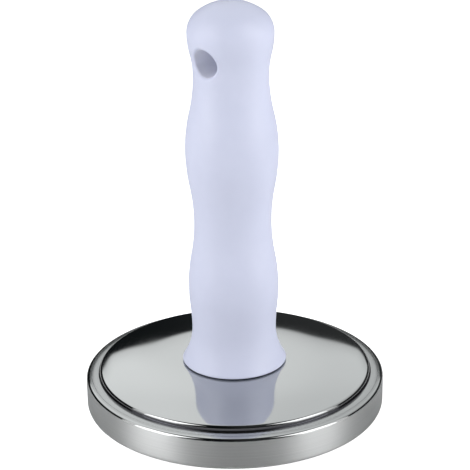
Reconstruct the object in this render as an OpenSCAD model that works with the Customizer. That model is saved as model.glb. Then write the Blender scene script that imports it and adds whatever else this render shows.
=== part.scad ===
// Round meat pounder: a weighted steel disc under an upright moulded grip.
// Millimetres, +Z up, origin at the centre of the pounding face.

/* [Strike pan] */
// Outside diameter of the disc
disc_d = 109.6; // [96:0.2:130]
// Height of the rim at its inner edge, above the pounding face
rim_h = 12.6; // [11:0.1:15]
// Thickness of the pounding face
floor_t = 2; // [1.5:0.1:3]
// Thickness of the rim's wall
wall_t = 2; // [1.2:0.1:3.2]
// Radius of the edge around the pounding face
pan_round = 2.4; // [1.5:0.1:3]
// Radius of the rim's outer top edge
rim_round = 1.2; // [0.5:0.1:3.4]
// Slope of the rim's top, outwards and down, in degrees
rim_slope = 16; // [0:1:25]

/* [Top cover] */
// Thickness of the cover's sheet
cover_t = 1; // [0.7:0.1:1.4]
// Gap of the seam between rim and cover
seam_gap = 0.05; // [0.05:0.05:0.2]
// Width of the shelf inside the rim
shelf_w = 2.7; // [1.6:0.05:6]
// Rise of the shelf from the seam to the step
shelf_rise = 0.1; // [0:0.05:1]
// Height of the step above the shelf
step_h = 1.9; // [1.2:0.05:4]
// Inward lean of the step's wall
step_lean = 0.1; // [0:0.05:0.5]
// Radius of the hollow at the foot of the step
step_fillet = 0.3; // [0.2:0.1:1.2]
// Radius of the plateau's edge
plateau_round = 1.3; // [0.4:0.1:2]
// Rise of the crown from the plateau's edge to the flat seat
crown_rise = 2.35; // [1:0.05:3]
// How the crown falls away: 2 is evenly curved, more is flatter inside and steeper at the edge
crown_power = 2.5; // [2:0.5:4]
// Width of the flat seat left showing around the grip's foot
seat_margin = 0.8; // [0.3:0.1:3]

/* [Weight core] */
// Gap between the core and the shell around it
core_gap = 0.2; // [0.1:0.05:0.4]

/* [Fasteners] */
// Thread diameter of the tie bolt
bolt_d = 10; // [8:0.5:11]
// Chamfer at the bolt's tip
tip_chamfer = 1; // [0.5:0.1:2]
// Width across the flats of the bolt's head and the nut
hex_af = 16; // [13:0.5:17]
// Height of the bolt's head
head_h = 6.4; // [5:0.1:7]
// Gap under the bolt's head
head_gap = 0.3; // [0.2:0.1:0.6]
// Height of the clamp nut
nut_h = 8; // [6.5:0.1:9]
// Outside diameter of the clamp washer
washer_d = 20; // [18:0.5:21]
// Thickness of the clamp washer
washer_t = 2; // [1.6:0.1:2.5]
// Outside diameter of the spring washer
spring_d = 17.6; // [16:0.1:18.5]
// Thickness of the spring washer
spring_t = 2.2; // [1.8:0.1:2.6]
// Width of the split in the spring washer
spring_split = 1.4; // [1:0.1:2]
// Clearance of the bolt in plain holes, on the radius
hole_gap = 0.25; // [0.15:0.05:0.5]
// Clearance of the bolt in threaded holes, on the radius
thread_gap = 0.05; // [0.02:0.01:0.1]
// Clearance of the bolt's head in its pocket, on the flats
pocket_gap = 0.15; // [0.1:0.05:0.3]

/* [Threaded insert] */
// Outside diameter of the brass insert
insert_d = 15; // [14:0.5:17]
// Length of the bolt inside the insert
thread_reach = 23.2; // [18:0.2:30]
// Space left between the bolt's tip and the end of the insert's bore
tip_gap = 0.8; // [0.5:0.1:2]
// Thickness of the insert's closed end
insert_end_t = 2; // [1.5:0.1:3]
// Depth of the grooves that key the insert into the grip
groove_depth = 1; // [0.6:0.1:1.4]
// Width of each groove
groove_w = 4; // [3:0.1:5]
// Number of grooves
groove_count = 2; // [1:1:2]
// Gap between the insert and the grip
insert_gap = 0.05; // [0.03:0.01:0.1]
// Space between the nut and the insert
nut_headroom = 1.6; // [1.2:0.1:3]
// Space around the nut and its washers in the grip's foot, on the radius
recess_gap = 0.8; // [0.5:0.1:1.2]

/* [Foot seal] */
// Thickness of the foot seal
seal_t = 0.3; // [0.2:0.1:0.8]
// Setback of the seal behind the edges of the foot
seal_setback = 0.2; // [0.1:0.1:1]

/* [Grip] */
// Diameter of the flared foot
foot_d = 38; // [36:0.5:44]
// Radius of the foot's lower edge
foot_round = 0.5; // [0.3:0.1:1]
// Diameter of the lowest waist
waist_low_d = 30.6; // [29:0.2:32]
// Height of the lowest waist above the foot
waist_low_h = 13; // [11:0.2:15]
// Diameter of the lower swell
swell_low_d = 32.6; // [31.2:0.2:36]
// Height of the lower swell above the foot
swell_low_h = 29.2; // [27:0.2:31]
// Diameter of the middle waist
waist_mid_d = 27.8; // [26:0.2:30]
// Height of the middle waist above the foot
waist_mid_h = 54; // [51:0.2:57]
// Diameter of the middle swell
swell_mid_d = 33.1; // [31:0.1:36]
// Height of the middle swell above the foot
swell_mid_h = 81; // [78:0.2:84]
// Diameter of the upper waist
waist_top_d = 26.6; // [25:0.2:29]
// Height of the upper waist above the foot
waist_top_h = 108.2; // [105:0.2:110]
// Diameter of the head
head_d = 30.4; // [29:0.2:34]
// Height of the head's widest place above the foot
head_at_h = 123.4; // [121:0.2:126]
// Height of the dome above the head's widest place
dome_h = 11; // [9:0.2:14]
// Radius of the dome's shoulder
shoulder_r = 9; // [6:0.5:10]

/* [Hanging hole] */
// Diameter of the cross hole
hang_d = 10; // [8:0.5:12]
// Height of the cross hole above the foot
hang_h = 114.8; // [113:0.2:117]

/* [Hidden] */
$fn = 96;

// Steps in a short round, a long arc and half a wave of the grip
round_steps = 6;
arc_steps = 12;
wave_steps = 5;
// Extra length that carries a cut past the face it opens
past = 1;
// Least radius of a corner inside the pan, least flat on top of the rim and least rise of the dome's cap
least_corner = 0.3;
least_flat = 0.1;
least_cap = 1;
// Half angle of a hexagon's side, which is also the slope of its bevels
bevel_angle = 30;

disc_r = disc_d / 2;
foot_r = foot_d / 2;
pan_in_r = disc_r - wall_t;
pan_in_round = max(least_corner, pan_round - wall_t);

// Cover: radii from the seam inwards, heights from the rim upwards
cover_r = pan_in_r - seam_gap;
step_r = cover_r - shelf_w;
plateau_r = step_r - step_lean;
step_z = rim_h + shelf_rise;
plateau_z = step_z + step_h;
seat_z = plateau_z + crown_rise;
seat_r = foot_r + seat_margin;
crown_run = plateau_r - seat_r;
shelf_angle = atan(shelf_rise / shelf_w);
// The hollow and the plateau's edge share the step's height
hollow = min(step_fillet, step_h / 4);
plateau_edge = min(plateau_round, step_h - hollow);
hollow_z = step_z + hollow * (1 - sin(shelf_angle)) / cos(shelf_angle);
// The rim's edge meets its sloping top smoothly and stays within the wall
rim_edge = min(rim_round, (wall_t - least_flat) / (1 - sin(rim_slope)));
rim_start = wall_t - rim_edge * (1 - sin(rim_slope));
rim_z = rim_h - rim_start * tan(rim_slope) - rim_edge * cos(rim_slope);

// Fasteners: heights up the bolt
bolt_r = bolt_d / 2;
bolt_hole_r = bolt_r + hole_gap;
tapped_r = bolt_r + thread_gap;
hex_r = hex_af / 2 / cos(bevel_angle);
pocket_r = (hex_af / 2 + pocket_gap) / cos(bevel_angle);
head_z = floor_t + head_gap;
shank_z = head_z + head_h;
spring_z = seat_z + washer_t;
nut_z = spring_z + spring_t;
insert_z = nut_z + nut_h + nut_headroom;
insert_bore_len = thread_reach + tip_gap;
insert_len = insert_bore_len + insert_end_t;
bolt_len = insert_z + thread_reach - shank_z;
insert_r = insert_d / 2;
groove_pitch = insert_len / (groove_count + 1);

// Grip: heights from the pounding face
foot_z = seat_z + seal_t;
top_z = foot_z + head_at_h + dome_h;
hang_z = foot_z + hang_h;
recess_r = max(washer_d / 2, hex_r) + recess_gap;
head_r = head_d / 2;
// The shoulder stays below the dome's top
shoulder = min(shoulder_r, dome_h - least_cap);
stations = [
    [waist_low_d / 2, foot_z + waist_low_h],
    [swell_low_d / 2, foot_z + swell_low_h],
    [waist_mid_d / 2, foot_z + waist_mid_h],
    [swell_mid_d / 2, foot_z + swell_mid_h],
    [waist_top_d / 2, foot_z + waist_top_h],
    [head_r, foot_z + head_at_h]
];

// Points of an arc about centre c, from angle a to angle b
function arc(c, r, a, b, steps) =
    [for (i = [0 : steps]) c + r * [cos(a + (b - a) * i / steps), sin(a + (b - a) * i / steps)]];

// The points after the first
function rest_of(points) = [for (i = [1 : len(points) - 1]) points[i]];

// Height of the cover's crown over radius r: a flat seat, then a fall by a power of the way to the edge
function crown_z(r) = seat_z - crown_rise * pow(max(0, r - seat_r) / crown_run, crown_power);

// Angle at which the crown falls at radius r
function crown_angle(r) =
    atan(crown_power * crown_rise / crown_run * pow(max(0, r - seat_r) / crown_run, crown_power - 1));

// Points of the crown from radius r in to the axis, lowered by drop at the seat and by drop + sag outside
function crown_line(r, drop, sag) =
    concat(
        [for (i = [0 : arc_steps])
            let (q = r + (seat_r - r) * i / arc_steps)
            [q, crown_z(q) - drop - sag * (arc_steps - i) / arc_steps]],
        [[0, seat_z - drop]]);

// Points between two upright stations a and b: two equal arcs that meet half way, without point a
function wave(a, b) =
    let (dr = b[0] - a[0], dz = b[1] - a[1])
    let (side = sign(dr))
    let (r = (dr * dr + dz * dz) / (4 * abs(dr)))
    let (turn = asin(dz / 2 / r))
    concat(
        [for (i = [1 : wave_steps])
            let (t = turn * i / wave_steps)
            a + [side * r * (1 - cos(t)), r * sin(t)]],
        [for (i = [wave_steps - 1 : -1 : 0])
            let (t = turn * i / wave_steps)
            b - [side * r * (1 - cos(t)), r * sin(t)]]);

// Half outline of the cover's upper face, from the seam to the axis
function cover_top() =
    let (edge_r = plateau_r - plateau_edge)
    let (fall = crown_angle(edge_r))
    let (meet_r = edge_r + plateau_edge * sin(fall))
    let (edge_z = crown_z(meet_r) - plateau_edge * cos(fall))
    concat(
        [[cover_r, rim_h]],
        arc([step_r + hollow, hollow_z], hollow, 270 - shelf_angle, 180, round_steps),
        arc([edge_r, edge_z], plateau_edge, 0, 90 - fall, round_steps),
        rest_of(crown_line(meet_r, 0, 0)));

// Half outline of a face under the cover, from radius r in, inset by t and by sag more outside the seat
function cover_under(r, t, sag) =
    concat(
        [[r, rim_h - t - sag], [step_r - t - sag, step_z - t - sag]],
        crown_line(plateau_r - t - sag, t, sag));

// Half outline of the grip, up its outside from the foot
function grip_line() =
    let (low = stations[0])
    let (dr = foot_r - low[0], dz = waist_low_h - foot_round)
    let (flare_r = (dr * dr + dz * dz) / (2 * dr))
    let (turn = asin(dz / flare_r))
    let (inner = head_r - shoulder)
    let (cap_r = (inner * inner + dome_h * dome_h - shoulder * shoulder) / (2 * (dome_h - shoulder)))
    let (cap_turn = atan2(cap_r - dome_h, inner))
    concat(
        [[0, foot_z]],
        arc([foot_r - foot_round, foot_z + foot_round], foot_round, -90, 0, round_steps),
        rest_of(arc([low[0] + flare_r, low[1]], flare_r, 180 + turn, 180, arc_steps)),
        [for (i = [0 : len(stations) - 2]) each wave(stations[i], stations[i + 1])],
        rest_of(arc([inner, foot_z + head_at_h], shoulder, 0, cap_turn, round_steps)),
        rest_of(arc([0, top_z - cap_r], cap_r, cap_turn, 90, arc_steps)));

// A hexagonal block with its corners bevelled at both ends
module hexagon(r, h) {
    flat = r * cos(bevel_angle);
    outside = r + past;
    bevel = (outside - flat) * tan(bevel_angle);
    intersection() {
        cylinder(r = r, h = h, $fn = 6);
        rotate_extrude()
            polygon([[0, 0], [flat, 0], [outside, bevel], [outside, h - bevel], [flat, h], [0, h]]);
    }
}

// A flat ring with its lower face at height z
module ring(outer_r, inner_r, h, z) {
    translate([0, 0, z])
        difference() {
            cylinder(r = outer_r, h = h);
            translate([0, 0, -past])
                cylinder(r = inner_r, h = h + 2 * past);
        }
}

// The insert's outside, grown by gap
module insert_body(gap) {
    translate([0, 0, insert_z])
        difference() {
            translate([0, 0, -gap])
                cylinder(r = insert_r + gap, h = insert_len + 2 * gap);
            for (i = [1 : groove_count])
                translate([0, 0, i * groove_pitch])
                    ring(insert_r + past, insert_r - groove_depth + gap,
                         groove_w - 2 * gap, gap - groove_w / 2);
        }
}

module strike_pan() {
    color("silver")
        rotate_extrude()
            polygon(concat(
                [[0, 0]],
                arc([disc_r - pan_round, pan_round], pan_round, -90, 0, round_steps),
                arc([disc_r - rim_edge, rim_z], rim_edge, 0, 90 - rim_slope, round_steps),
                [[pan_in_r, rim_h]],
                arc([pan_in_r - pan_in_round, floor_t + pan_in_round], pan_in_round, 0, -90, round_steps),
                [[0, floor_t]]));
}

module weight_core() {
    core_r = pan_in_r - core_gap;
    color("dimgray")
        difference() {
            rotate_extrude()
                polygon(concat(
                    [[0, floor_t], [core_r - pan_in_round, floor_t], [core_r, floor_t + pan_in_round]],
                    cover_under(core_r, cover_t, core_gap)));
            translate([0, 0, floor_t - past])
                cylinder(r = bolt_hole_r, h = seat_z);
            translate([0, 0, floor_t - past])
                cylinder(r = pocket_r, h = shank_z - floor_t + past, $fn = 6);
        }
}

module top_cover() {
    under = cover_under(cover_r, cover_t, 0);
    color("gainsboro")
        difference() {
            rotate_extrude()
                polygon(concat(cover_top(), [for (i = [len(under) - 1 : -1 : 0]) under[i]]));
            translate([0, 0, seat_z - cover_t - past])
                cylinder(r = bolt_hole_r, h = cover_t + 2 * past);
        }
}

module tie_bolt() {
    color("lightslategray") {
        translate([0, 0, head_z])
            hexagon(hex_r, head_h);
        translate([0, 0, shank_z])
            rotate_extrude()
                polygon([[0, -past], [bolt_r, -past], [bolt_r, bolt_len - tip_chamfer],
                         [bolt_r - tip_chamfer, bolt_len], [0, bolt_len]]);
    }
}

module clamp_washer() {
    color("lightsteelblue")
        ring(washer_d / 2, bolt_hole_r, washer_t, seat_z);
}

module spring_washer() {
    color("slategray")
        difference() {
            ring(spring_d / 2, bolt_hole_r, spring_t, spring_z);
            translate([0, -spring_split / 2, spring_z - past])
                cube([spring_d, spring_split, spring_t + 2 * past]);
        }
}

module clamp_nut() {
    color("lightslategray")
        translate([0, 0, nut_z])
            difference() {
                hexagon(hex_r, nut_h);
                translate([0, 0, -past])
                    cylinder(r = tapped_r, h = nut_h + 2 * past);
            }
}

module threaded_insert() {
    color("goldenrod")
        difference() {
            insert_body(0);
            translate([0, 0, insert_z - past])
                cylinder(r = tapped_r, h = insert_bore_len + past);
        }
}

module foot_seal() {
    color("darkslategray")
        ring(foot_r - foot_round - seal_setback, recess_r + seal_setback, seal_t, seat_z);
}

module grip() {
    color("lavender")
        difference() {
            rotate_extrude()
                polygon(grip_line());
            translate([0, 0, foot_z - past])
                cylinder(r = recess_r, h = insert_z - foot_z + past);
            insert_body(insert_gap);
            translate([0, 0, hang_z])
                rotate([90, 0, 0])
                    cylinder(d = hang_d, h = 2 * head_d, center = true);
        }
}

strike_pan();
weight_core();
top_cover();
tie_bolt();
clamp_washer();
spring_washer();
clamp_nut();
threaded_insert();
foot_seal();
grip();
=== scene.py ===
"""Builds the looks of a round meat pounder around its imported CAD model.

The pan, its cover, the foot seal and the grip are drawn again as smooth surfaces worked out with numpy. The
pieces hidden inside keep their CAD shape and get a finish. Sizes are in millimetres in the CAD frame: +Z up,
the origin at the centre of the pounding face and the hanging hole along Y.
"""

import logging
import math
from dataclasses import dataclass, field
from enum import Enum

import bpy
import numpy as np
from mathutils import Matrix
from numpy.typing import NDArray


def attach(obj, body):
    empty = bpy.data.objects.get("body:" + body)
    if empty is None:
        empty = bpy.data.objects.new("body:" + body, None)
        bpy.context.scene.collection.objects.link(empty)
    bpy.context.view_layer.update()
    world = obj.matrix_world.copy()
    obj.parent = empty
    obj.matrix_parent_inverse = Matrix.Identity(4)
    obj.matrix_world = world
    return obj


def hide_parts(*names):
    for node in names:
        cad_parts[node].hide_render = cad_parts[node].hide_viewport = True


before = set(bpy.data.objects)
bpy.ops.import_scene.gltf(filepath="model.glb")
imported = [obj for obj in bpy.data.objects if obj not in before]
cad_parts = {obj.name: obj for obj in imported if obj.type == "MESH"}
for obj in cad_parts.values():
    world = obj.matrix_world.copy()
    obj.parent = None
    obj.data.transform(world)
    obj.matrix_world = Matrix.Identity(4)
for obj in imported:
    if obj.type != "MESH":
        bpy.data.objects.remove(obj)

Floats = NDArray[np.float64]
Ints = NDArray[np.int64]
Color = tuple[float, float, float]
Input = bpy.types.NodeSocket | float

MM = 0.001
UNIT = (0.0, 1.0)
WHITE: Color = (1.0, 1.0, 1.0)
# Angle between two faces past which their edge is kept sharp
CREASE = math.radians(38.0)
# Noise values that are stretched to a full tone, and those between which a handled patch builds up
TONE_RANGE = (0.3, 0.7)
PATCH_RANGE = (0.35, 0.7)
# Numbers of the colour sockets on a Mix node: its two inputs and its output
MIX_FIRST = 6
MIX_SECOND = 7
MIX_RESULT = 2
# Radius of the hanging hole and height of its axis, in millimetres
HOLE_R = 5.0
HOLE_Z = 132.05
LOG = logging.getLogger("meat_pounder")


class Node(Enum):
    """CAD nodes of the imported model."""

    STRIKE_PAN = "strike_pan"
    WEIGHT_CORE = "weight_core"
    TOP_COVER = "top_cover"
    TIE_BOLT = "tie_bolt"
    CLAMP_WASHER = "clamp_washer"
    SPRING_WASHER = "spring_washer"
    CLAMP_NUT = "clamp_nut"
    THREADED_INSERT = "threaded_insert"
    FOOT_SEAL = "foot_seal"
    GRIP = "grip"


class Slot(Enum):
    """Material slots of the record."""

    BRUSHED = "brushed_stainless"
    MIRROR = "mirror_stainless"
    SEAL = "seal_rubber"
    PLASTIC = "grip_plastic"


class Mouth(Enum):
    """The two mouths of the hanging hole, by the sign of their Y."""

    AHEAD = 1
    BEHIND = -1


# Surfaces


@dataclass
class Surface:
    """Points in millimetres and the faces that join them.

    Attributes:
        points: Places, one row each.
        quads: Four point numbers per face.
        triangles: Three point numbers per face.
    """

    points: Floats
    quads: Ints
    triangles: Ints

    def to_object(self, name: str) -> bpy.types.Object:
        """Makes a smooth-shaded mesh object at the origin, with its sharp corners kept sharp.

        Args:
            name: Name of the object and its mesh.

        Returns:
            The object, linked to the scene.
        """
        mesh = bpy.data.meshes.new(name)
        faces = self.quads.tolist() + self.triangles.tolist()
        mesh.from_pydata((self.points * MM).tolist(), [], faces)
        mesh.polygons.foreach_set("use_smooth", np.ones(len(faces), bool))
        mesh.set_sharp_from_angle(angle=CREASE)
        made = bpy.data.objects.new(name, mesh)
        bpy.context.scene.collection.objects.link(made)
        return made


def arc(centre: tuple[float, float], radius: float, start: float, end: float, steps: int) -> Floats:
    """Points of an arc: centre + radius (cos t, sin t) for t from start to end.

    Args:
        centre: Distance from the axis and height of the centre.
        radius: Radius of the arc.
        start: First angle in radians.
        end: Last angle in radians.
        steps: Number of equal steps.

    Returns:
        Points (r, z), one row each.
    """
    t = np.linspace(start, end, steps + 1)
    return np.array(centre) + radius * np.column_stack([np.cos(t), np.sin(t)])


def rounded(corners: list[tuple[float, float, float]], steps: int) -> Floats:
    """Draws a line through corners and rounds each of them with a tangent arc.

    Where the line turns by an angle a, an arc of radius q starts q tan(a / 2) before the corner and ends as
    far after it.

    Args:
        corners: Distance from the axis, height and rounding of each corner. The two ends stay as they are.
        steps: Steps in each arc.

    Returns:
        Points (r, z), one row each.
    """
    places = np.array([corner[:2] for corner in corners])
    runs = np.diff(places, axis=0)
    units = runs / np.linalg.norm(runs, axis=1, keepdims=True)
    parts = [places[:1]]
    for place, radius, u, v in zip(places[1:-1], [c[2] for c in corners[1:-1]], units[:-1], units[1:]):
        turn = math.atan2(u[0] * v[1] - u[1] * v[0], float(u @ v))
        side = math.copysign(1.0, turn)
        start = place - u * radius * math.tan(abs(turn) / 2)
        centre = start + side * radius * np.array([-u[1], u[0]])
        first = math.atan2(start[1] - centre[1], start[0] - centre[0])
        parts.append(arc(tuple(centre), radius, first, first + turn, steps) if radius else place[None])
    parts.append(places[-1:])
    return np.vstack(parts)


def ring_quads(rows: int, columns: int, closed: bool = False) -> Ints:
    """Numbers the quads of a grid of rings, each ring joined end to start.

    Args:
        rows: Number of rings.
        columns: Points in each ring.
        closed: Whether the last ring joins the first.

    Returns:
        Point numbers, shaped (bands, columns, 4), facing outwards where the rings run with the solid on
        their left.
    """
    low = np.arange(rows if closed else rows - 1)[:, None]
    high = (low + 1) % rows
    here = np.arange(columns)[None, :]
    there = (here + 1) % columns
    sides = [low * columns + here, low * columns + there, high * columns + there, high * columns + here]
    return np.stack(sides, axis=-1)


def ring_points(profile: Floats, columns: int) -> Floats:
    """Carries a profile once around the axis: (r, z) at angle a goes to (r cos a, r sin a, z).

    Args:
        profile: Points (r, z).
        columns: Places around the axis.

    Returns:
        Points shaped (len(profile) * columns, 3), ring by ring.
    """
    a = np.arange(columns) * 2 * math.pi / columns
    r, z = profile[:, :1], profile[:, 1:]
    around = [r * np.cos(a), r * np.sin(a), z + 0 * a]
    return np.stack(around, axis=-1).reshape(-1, 3)


def turned(profile: Floats, columns: int) -> Surface:
    """Turns a profile that starts and ends on the axis, with a fan of triangles at each pole.

    Args:
        profile: Points (r, z) with the solid on their left.
        columns: Places around the axis.

    Returns:
        The closed surface.
    """
    rings = profile[1:-1]
    points = np.vstack([ring_points(rings, columns), [[0, 0, profile[0, 1]], [0, 0, profile[-1, 1]]]])
    here = np.arange(columns)
    there = (here + 1) % columns
    top = (len(rings) - 1) * columns
    first, last = len(points) - 2, len(points) - 1
    start = np.column_stack([np.full(columns, first), there, here])
    end = np.column_stack([np.full(columns, last), top + here, top + there])
    return Surface(points, ring_quads(len(rings), columns).reshape(-1, 4), np.vstack([start, end]))


def turned_ring(profile: Floats, columns: int) -> Surface:
    """Turns a closed profile that stays off the axis, such as a washer's section.

    Args:
        profile: Points (r, z) with the solid on their left, the last one joined to the first.
        columns: Places around the axis.

    Returns:
        The closed surface.
    """
    quads = ring_quads(len(profile), columns, closed=True).reshape(-1, 4)
    return Surface(ring_points(profile, columns), quads, np.zeros((0, 3), np.int64))


# Shader nodes


class Sheet:
    """A node tree with short calls to place nodes and join their sockets."""

    def __init__(self, tree: bpy.types.NodeTree) -> None:
        """Takes over a tree and empties it."""
        self.tree = tree
        tree.nodes.clear()

    def place(self, kind: str, **settings: object) -> bpy.types.Node:
        """Adds a node.

        Args:
            kind: Blender's type name.
            **settings: Properties to set on it.

        Returns:
            The node.
        """
        made = self.tree.nodes.new(kind)
        for name, value in settings.items():
            setattr(made, name, value)
        return made

    def feed(self, target: bpy.types.NodeSocket, value: Input | Color) -> None:
        """Joins a socket to an input, or sets a number or colour on it.

        Args:
            target: The input socket.
            value: An output socket, a number or a colour.
        """
        if isinstance(value, bpy.types.NodeSocket):
            self.tree.links.new(value, target)
        elif isinstance(value, tuple) and target.type == "RGBA":
            target.default_value = (*value, 1.0)
        else:
            target.default_value = value

    def math(self, operation: str, first: Input, second: Input = 0.0) -> bpy.types.NodeSocket:
        """Adds a Math node.

        Args:
            operation: Blender's name of the operation.
            first: First number.
            second: Second number.

        Returns:
            The result.
        """
        made = self.place("ShaderNodeMath", operation=operation)
        self.feed(made.inputs[0], first)
        self.feed(made.inputs[1], second)
        return made.outputs[0]

    def remap(
        self, value: Input, source: tuple[Input, Input], target: tuple[Input, Input] = UNIT
    ) -> bpy.types.NodeSocket:
        """Adds a smooth Map Range node.

        Args:
            value: Number to map.
            source: Range that it comes from.
            target: Range that it goes to.

        Returns:
            The mapped number.
        """
        made = self.place("ShaderNodeMapRange", interpolation_type="SMOOTHSTEP")
        names = ("Value", "From Min", "From Max", "To Min", "To Max")
        for name, given in zip(names, (value, *source, *target)):
            self.feed(made.inputs[name], given)
        return made.outputs["Result"]

    def ramp(self, value: bpy.types.NodeSocket, start: float, width: float) -> bpy.types.NodeSocket:
        """Rises from 0 to 1 over a width in millimetres, from a start in millimetres."""
        return self.remap(value, (start * MM, (start + width) * MM))

    def mix(self, share: Input, first: Input | Color, second: Input | Color) -> bpy.types.NodeSocket:
        """Adds a colour Mix node.

        Args:
            share: Share of the second colour.
            first: First colour.
            second: Second colour.

        Returns:
            The mixed colour.
        """
        made = self.place("ShaderNodeMix", data_type="RGBA")
        self.feed(made.inputs["Factor"], share)
        self.feed(made.inputs[MIX_FIRST], first)
        self.feed(made.inputs[MIX_SECOND], second)
        return made.outputs[MIX_RESULT]

    def blend(self, share: Input, first: Input, second: Input) -> bpy.types.NodeSocket:
        """Adds a Mix node for numbers.

        Args:
            share: Share of the second number.
            first: First number.
            second: Second number.

        Returns:
            The mixed number.
        """
        made = self.place("ShaderNodeMix", data_type="FLOAT")
        for name, value in zip(("Factor", "A", "B"), (share, first, second)):
            self.feed(made.inputs[name], value)
        return made.outputs["Result"]

    def noise(self, vector: bpy.types.NodeSocket, scale: Input, detail: float) -> bpy.types.NodeSocket:
        """Adds a Noise Texture.

        Args:
            vector: Where it is read.
            scale: Features per metre.
            detail: Number of finer layers.

        Returns:
            Its value, about one half on average.
        """
        made = self.place("ShaderNodeTexNoise")
        self.feed(made.inputs["Vector"], vector)
        self.feed(made.inputs["Scale"], scale)
        self.feed(made.inputs["Detail"], detail)
        return made.outputs["Fac"]

    def object_place(self) -> bpy.types.NodeSocket:
        """The place on the object, in metres in the CAD frame."""
        return self.place("ShaderNodeTexCoord").outputs["Object"]

    def split(self, vector: bpy.types.NodeSocket) -> bpy.types.Node:
        """Takes a vector apart.

        Args:
            vector: The vector.

        Returns:
            A node with outputs X, Y and Z.
        """
        made = self.place("ShaderNodeSeparateXYZ")
        self.feed(made.inputs[0], vector)
        return made

    def along(self, vector: bpy.types.NodeSocket, way: Floats) -> bpy.types.NodeSocket:
        """How far a vector reaches along a unit direction, which is their dot product.

        Args:
            vector: The vector.
            way: The direction.

        Returns:
            The reach.
        """
        made = self.place("ShaderNodeVectorMath", operation="DOT_PRODUCT")
        self.feed(made.inputs[0], vector)
        made.inputs[1].default_value = way
        return made.outputs["Value"]

    def radius(self, place: bpy.types.NodeSocket) -> bpy.types.NodeSocket:
        """Distance of a place from the Z axis.

        Args:
            place: A vector.

        Returns:
            The square root of x squared plus y squared.
        """
        parts = self.split(place).outputs
        flat = self.place("ShaderNodeCombineXYZ")
        self.feed(flat.inputs["X"], parts["X"])
        self.feed(flat.inputs["Y"], parts["Y"])
        length = self.place("ShaderNodeVectorMath", operation="LENGTH")
        self.feed(length.inputs[0], flat.outputs[0])
        return length.outputs["Value"]

    def use(self, group: bpy.types.NodeTree, **inputs: float) -> bpy.types.Node:
        """Places a node group.

        Args:
            group: The group.
            **inputs: Values of its inputs.

        Returns:
            The group's node.
        """
        made = self.place("ShaderNodeGroup", node_tree=group)
        for name, value in inputs.items():
            self.feed(made.inputs[name], value)
        return made

    def bump(self, height: bpy.types.NodeSocket, depth: float) -> bpy.types.NodeSocket:
        """Adds a Bump node.

        Args:
            height: Height from 0 to 1.
            depth: Depth of the relief in millimetres.

        Returns:
            The bent normal.
        """
        made = self.place("ShaderNodeBump")
        made.inputs["Distance"].default_value = depth * MM
        self.feed(made.inputs["Height"], height)
        return made.outputs["Normal"]


def new_group(name: str, inputs: list[str], outputs: list[str]) -> bpy.types.NodeTree:
    """Starts a shader node group of plain numbers.

    Args:
        name: Name of the group.
        inputs: Names of its inputs.
        outputs: Names of its outputs.

    Returns:
        The group's empty tree with its sockets.
    """
    tree = bpy.data.node_groups.new(name, "ShaderNodeTree")
    for socket in inputs:
        tree.interface.new_socket(socket, in_out="INPUT", socket_type="NodeSocketFloat")
    for socket in outputs:
        tree.interface.new_socket(socket, in_out="OUTPUT", socket_type="NodeSocketFloat")
    return tree


class Effects:
    """Effects that several finishes share, as node groups."""

    def __init__(self) -> None:
        """Builds each group once."""
        self.turned_lines = self._turned_lines()
        self.fine_grain = self._fine_grain()
        self.handling = self._handling()

    def _turned_lines(self) -> bpy.types.NodeTree:
        """Fine lines that run around the Z axis, as a brush or a turning tool leaves them.

        Noise is read at (x Drift, y Drift, (r + z) Lines), so it changes slowly along a line and quickly from
        one line to the next, on upright and on level faces alike.

        Returns:
            The group, with inputs Lines and Drift and output Tone.
        """
        tree = new_group("turned_lines", ["Lines", "Drift"], ["Tone"])
        sheet = Sheet(tree)
        given = sheet.place("NodeGroupInput")
        place = sheet.object_place()
        parts = sheet.split(place).outputs
        across = sheet.math("ADD", sheet.radius(place), parts["Z"])
        spot = sheet.place("ShaderNodeCombineXYZ")
        rates = (("X", parts["X"], "Drift"), ("Y", parts["Y"], "Drift"), ("Z", across, "Lines"))
        for axis, part, rate in rates:
            sheet.feed(spot.inputs[axis], sheet.math("MULTIPLY", part, given.outputs[rate]))
        result = sheet.place("NodeGroupOutput")
        sheet.feed(result.inputs["Tone"], sheet.noise(spot.outputs[0], scale=1.0, detail=3.0))
        return tree

    def _fine_grain(self) -> bpy.types.NodeTree:
        """An even grain with a coarser swell under it, as moulded and cast faces have.

        Returns:
            The group, with inputs Grain and Swell in features per metre and outputs Height and Tone.
        """
        tree = new_group("fine_grain", ["Grain", "Swell"], ["Height", "Tone"])
        sheet = Sheet(tree)
        given = sheet.place("NodeGroupInput")
        place = sheet.object_place()
        result = sheet.place("NodeGroupOutput")
        sheet.feed(result.inputs["Height"], sheet.noise(place, given.outputs["Grain"], detail=2.0))
        sheet.feed(result.inputs["Tone"], sheet.noise(place, given.outputs["Swell"], detail=3.0))
        return tree

    def _handling(self) -> bpy.types.NodeTree:
        """Soft patches where hands and cloths have passed, a little duller than the rest.

        Returns:
            The group, with inputs Patches, in features per metre, and Clean and Dull, the two ends of the
            roughness, and output Roughness.
        """
        tree = new_group("handling", ["Patches", "Clean", "Dull"], ["Roughness"])
        sheet = Sheet(tree)
        given = sheet.place("NodeGroupInput")
        patches = sheet.noise(sheet.object_place(), given.outputs["Patches"], detail=4.0)
        result = sheet.place("NodeGroupOutput")
        ends = (given.outputs["Clean"], given.outputs["Dull"])
        sheet.feed(result.inputs["Roughness"], sheet.remap(patches, PATCH_RANGE, ends))
        return tree


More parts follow.
